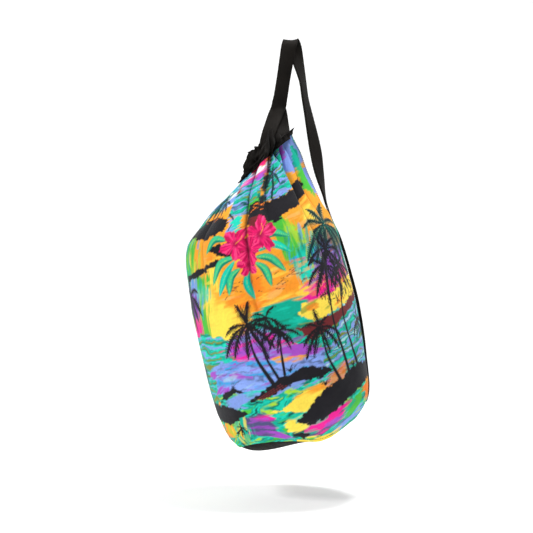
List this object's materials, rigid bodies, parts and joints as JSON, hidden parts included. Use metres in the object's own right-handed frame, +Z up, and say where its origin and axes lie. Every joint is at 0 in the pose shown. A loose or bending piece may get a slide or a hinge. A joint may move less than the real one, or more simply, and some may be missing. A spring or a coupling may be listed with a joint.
{
  "type": "drawstring sling sack",
  "caption": "Round-bottomed cloth sack with a gathered mouth casing and one webbing that is both drawstring and shoulder strap, hanging from it.",
  "frame": {"origin": "underside of the strap at the top of its loop, where a hook, peg or shoulder holds it", "axes": "+Z up as the sack hangs, +X from the mouth towards the side that the strap runs down, -Y the front panel"},
  "size_m": [0.3074, 0.2762, 0.7072],
  "materials": {
    "print_cloth": "satin",
    "black_cloth": "matte",
    "webbing": "matte",
    "binding_tape": "matte",
    "thread": "satin"
  },
  "bodies": {
    "strap_loop": {"strap_loop_front": "webbing", "strap_loop_rear": "webbing"},
    "sack": {"front_panel": "print_cloth", "back_panel": "print_cloth", "base_panel": "black_cloth", "mouth_casing": "black_cloth", "side_seam_binding_strap_side": "binding_tape", "side_seam_binding_far_side": "binding_tape", "base_seam_binding": "binding_tape", "strap_cinch_run": "webbing", "strap_exit_left": "webbing", "strap_exit_right": "webbing", "strap_tail_outer": "webbing", "strap_tail_inner": "webbing", "casing_stitching": "thread", "anchor_bartack": "thread"}
  },
  "joints": [
    {"name": "strap_swing", "type": "hinge", "parent": "strap_loop", "child": "sack", "pos_m": [-0.02066, 0, -0.10924], "axis": [0.4609, 0, -0.8875], "range_deg": [-42, 42]}
  ]
}
